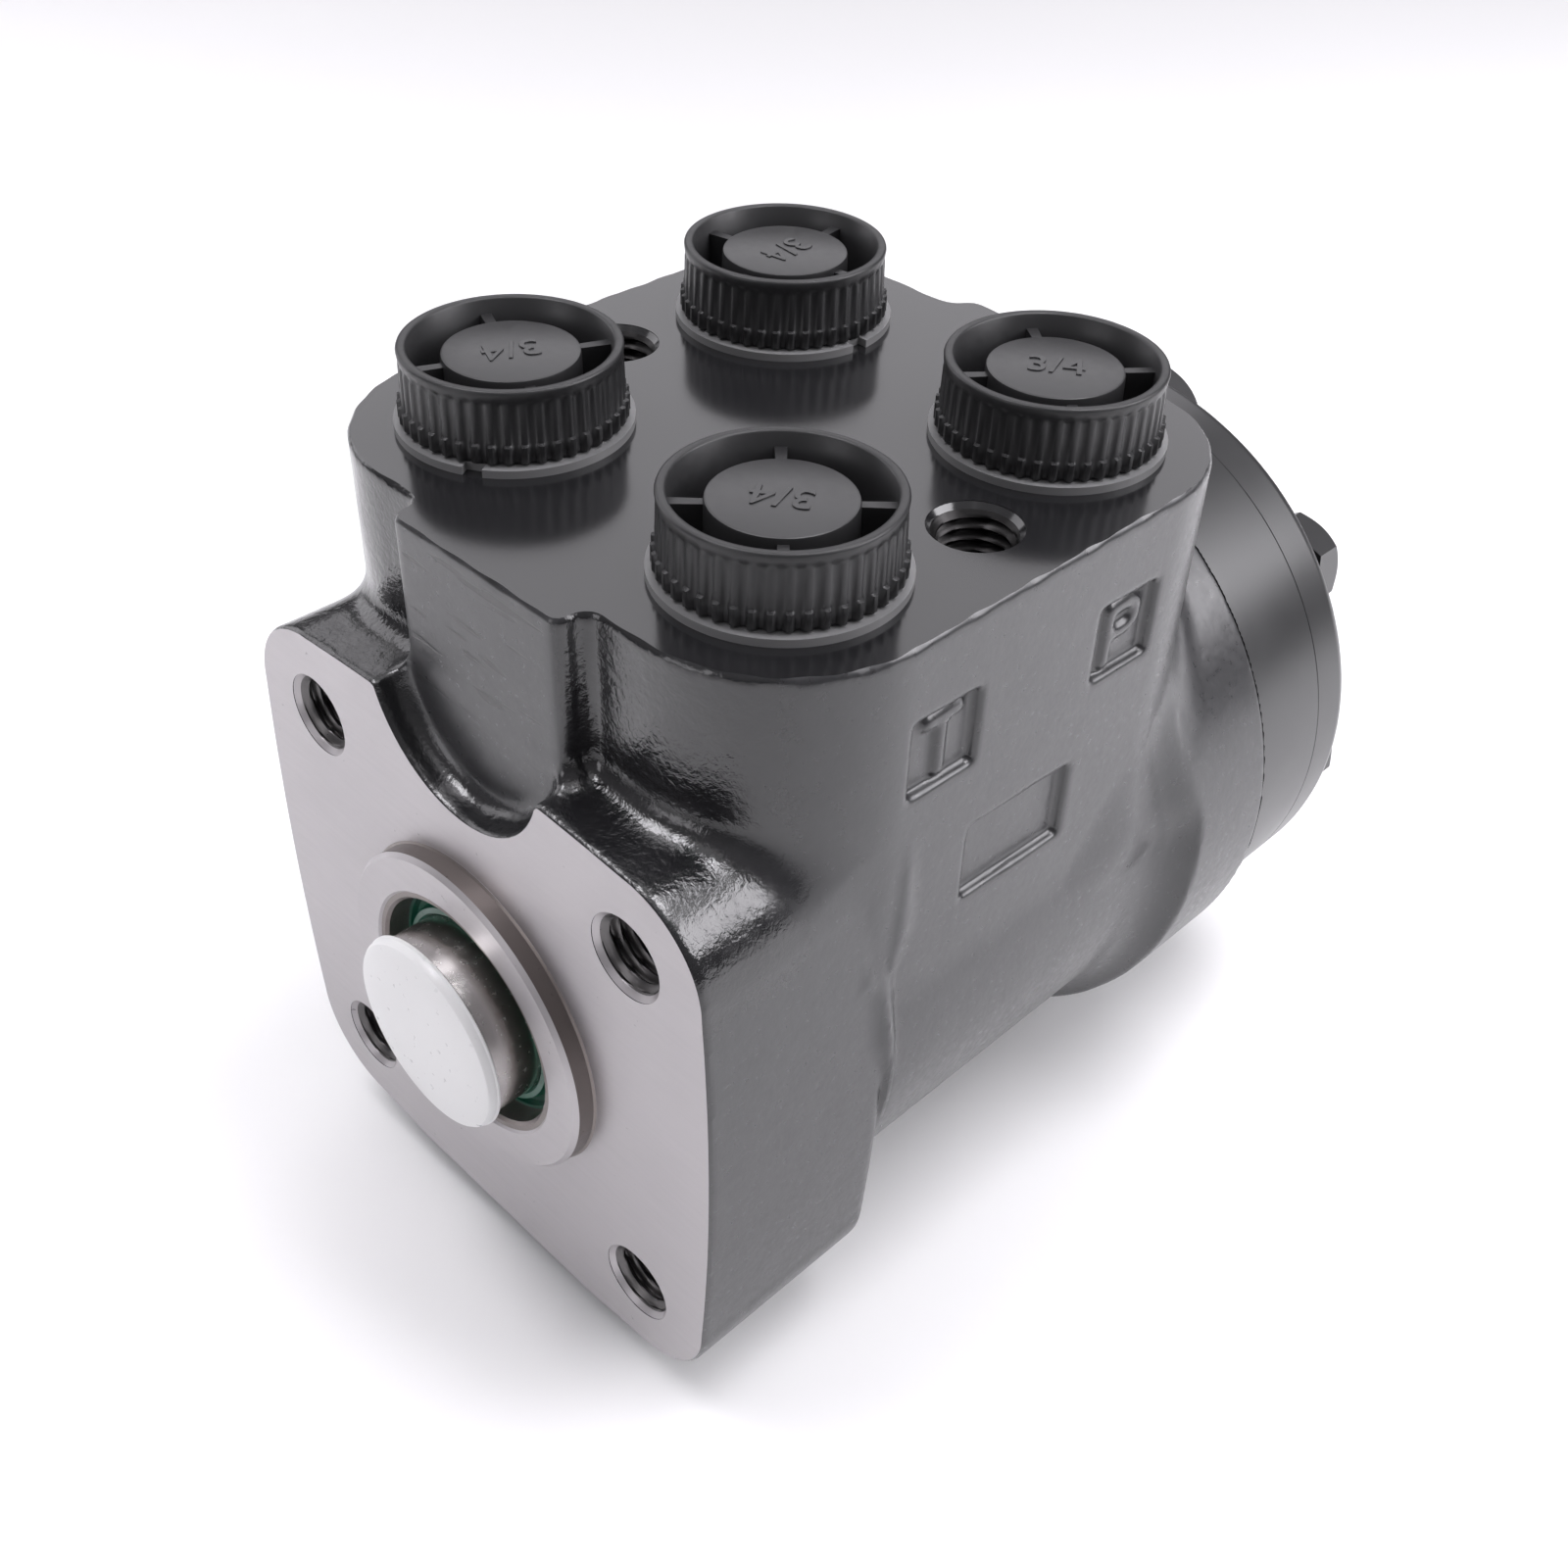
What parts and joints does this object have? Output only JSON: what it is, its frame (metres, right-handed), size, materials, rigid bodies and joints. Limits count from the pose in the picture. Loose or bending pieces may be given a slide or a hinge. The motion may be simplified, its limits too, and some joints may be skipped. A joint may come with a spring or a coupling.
{
  "type": "orbital steering unit",
  "caption": "Hydraulic steering unit: a square mounting flange with pilot ring and splined shaft, a ported valve block on a round body, and a bolted gear set behind.",
  "frame": {"origin": "centre of the four column bolt holes in the machined flange face, on the shaft axis", "axes": "-Y out of the flange face along the shaft, +Y back to the end cover, +Z out of the port face, +X to the right seen from the flange"},
  "size_m": [0.0954, 0.1436, 0.1205],
  "materials": {
    "housing": "satin dark grey paint over rough casting, machined flange face left bare",
    "gear_stack": "satin dark grey paint over turned steel",
    "bolts": "satin dark grey paint over steel",
    "washers": "satin dark grey paint over soft steel",
    "valve_steel": "ground and polished",
    "bearing_steel": "hardened and ground",
    "spring_steel": "blued spring steel",
    "cage_brass": "satin",
    "green_seal": "matte green",
    "black_rubber": "matte black",
    "plug_plastic": "moulded charcoal",
    "gasket_grey": "light grey fibre",
    "cap_white": "moulded white"
  },
  "bodies": {
    "housing": {"housing": "housing", "dust_seal": "green_seal", "shaft_seal": "black_rubber", "bearing_outer_race": "bearing_steel", "check_bushing": "valve_steel", "distributor_plate": "gear_stack", "gear_ring": "gear_stack", "end_cover": "gear_stack", "cover_bolts": "bolts", "pin_bolt": "bolts", "bolt_washers": "washers", "housing_seal_ring": "black_rubber", "plate_seal_ring": "black_rubber", "cover_seal_ring": "black_rubber"},
    "sleeve": {"control_sleeve": "valve_steel", "cross_pin": "bearing_steel", "spring_ring": "valve_steel", "flat_springs": "spring_steel", "bowed_springs": "spring_steel", "bearing_inner_race": "bearing_steel"},
    "spool": {"control_spool": "valve_steel"},
    "cap": {"shaft_cap": "cap_white"},
    "cage": {"needle_cage": "cage_brass", "bearing_needles": "bearing_steel"},
    "check": {"check_ball": "bearing_steel"},
    "spacer": {"drive_spacer": "bearing_steel"},
    "rotor": {"gear_rotor": "bearing_steel"},
    "drive": {"drive_shaft": "valve_steel"},
    "left_plug": {"plug_left": "plug_plastic", "gasket_left": "gasket_grey"},
    "right_plug": {"plug_right": "plug_plastic", "gasket_right": "gasket_grey"},
    "tank_plug": {"plug_tank": "plug_plastic", "gasket_tank": "gasket_grey"},
    "pump_plug": {"plug_pump": "plug_plastic", "gasket_pump": "gasket_grey"}
  },
  "joints": [
    {"name": "steering_spin", "type": "hinge", "parent": "housing", "child": "sleeve", "pos_m": [0, 0.0618, 0], "axis": [0, 1, 0], "continuous": true},
    {"name": "spool_turn", "type": "hinge", "parent": "sleeve", "child": "spool", "pos_m": [0, 0.0618, 0], "axis": [0, 1, 0], "range_deg": [-8, 8], "stiffness_Nm_per_rad": 6, "deforming": ["bowed_springs", "flat_springs"]},
    {"name": "cap_pull", "type": "slide", "parent": "spool", "child": "cap", "axis": [0, -1, 0], "range_m": [0, 0.02]},
    {"name": "cage_spin", "type": "hinge", "parent": "housing", "child": "cage", "pos_m": [0, 0.01372, 0], "axis": [0, 1, 0], "continuous": true},
    {"name": "orbit_spin", "type": "hinge", "parent": "housing", "child": "spacer", "pos_m": [0, 0.1192, 0], "axis": [0, 1, 0], "continuous": true},
    {"name": "rotor_spin", "type": "hinge", "parent": "spacer", "child": "rotor", "pos_m": [0, 0.1156, -0.0028], "axis": [0, 1, 0], "continuous": true},
    {"name": "drive_spin", "type": "hinge", "parent": "spacer", "child": "drive", "pos_m": [0, 0.045, 0], "axis": [0, 0.9992, -0.041], "continuous": true},
    {"name": "check_lift", "type": "slide", "parent": "housing", "child": "check", "axis": [0, 1, 0], "range_m": [0, 0.0014]},
    {"name": "plug_left_out", "type": "slide", "parent": "housing", "child": "left_plug", "axis": [0, 0, 1], "range_m": [0, 0.02]},
    {"name": "plug_right_out", "type": "slide", "parent": "housing", "child": "right_plug", "axis": [0, 0, 1], "range_m": [0, 0.02]},
    {"name": "plug_tank_out", "type": "slide", "parent": "housing", "child": "tank_plug", "axis": [0, 0, 1], "range_m": [0, 0.02]},
    {"name": "plug_pump_out", "type": "slide", "parent": "housing", "child": "pump_plug", "axis": [0, 0, 1], "range_m": [0, 0.02]}
  ],
  "couplings": [
    {"joint": "cage_spin", "follows": "steering_spin", "ratio": 0.5},
    {"joint": "orbit_spin", "follows": "steering_spin", "ratio": -6},
    {"joint": "rotor_spin", "follows": "steering_spin", "ratio": 7},
    {"joint": "drive_spin", "follows": "steering_spin", "ratio": 7}
  ]
}
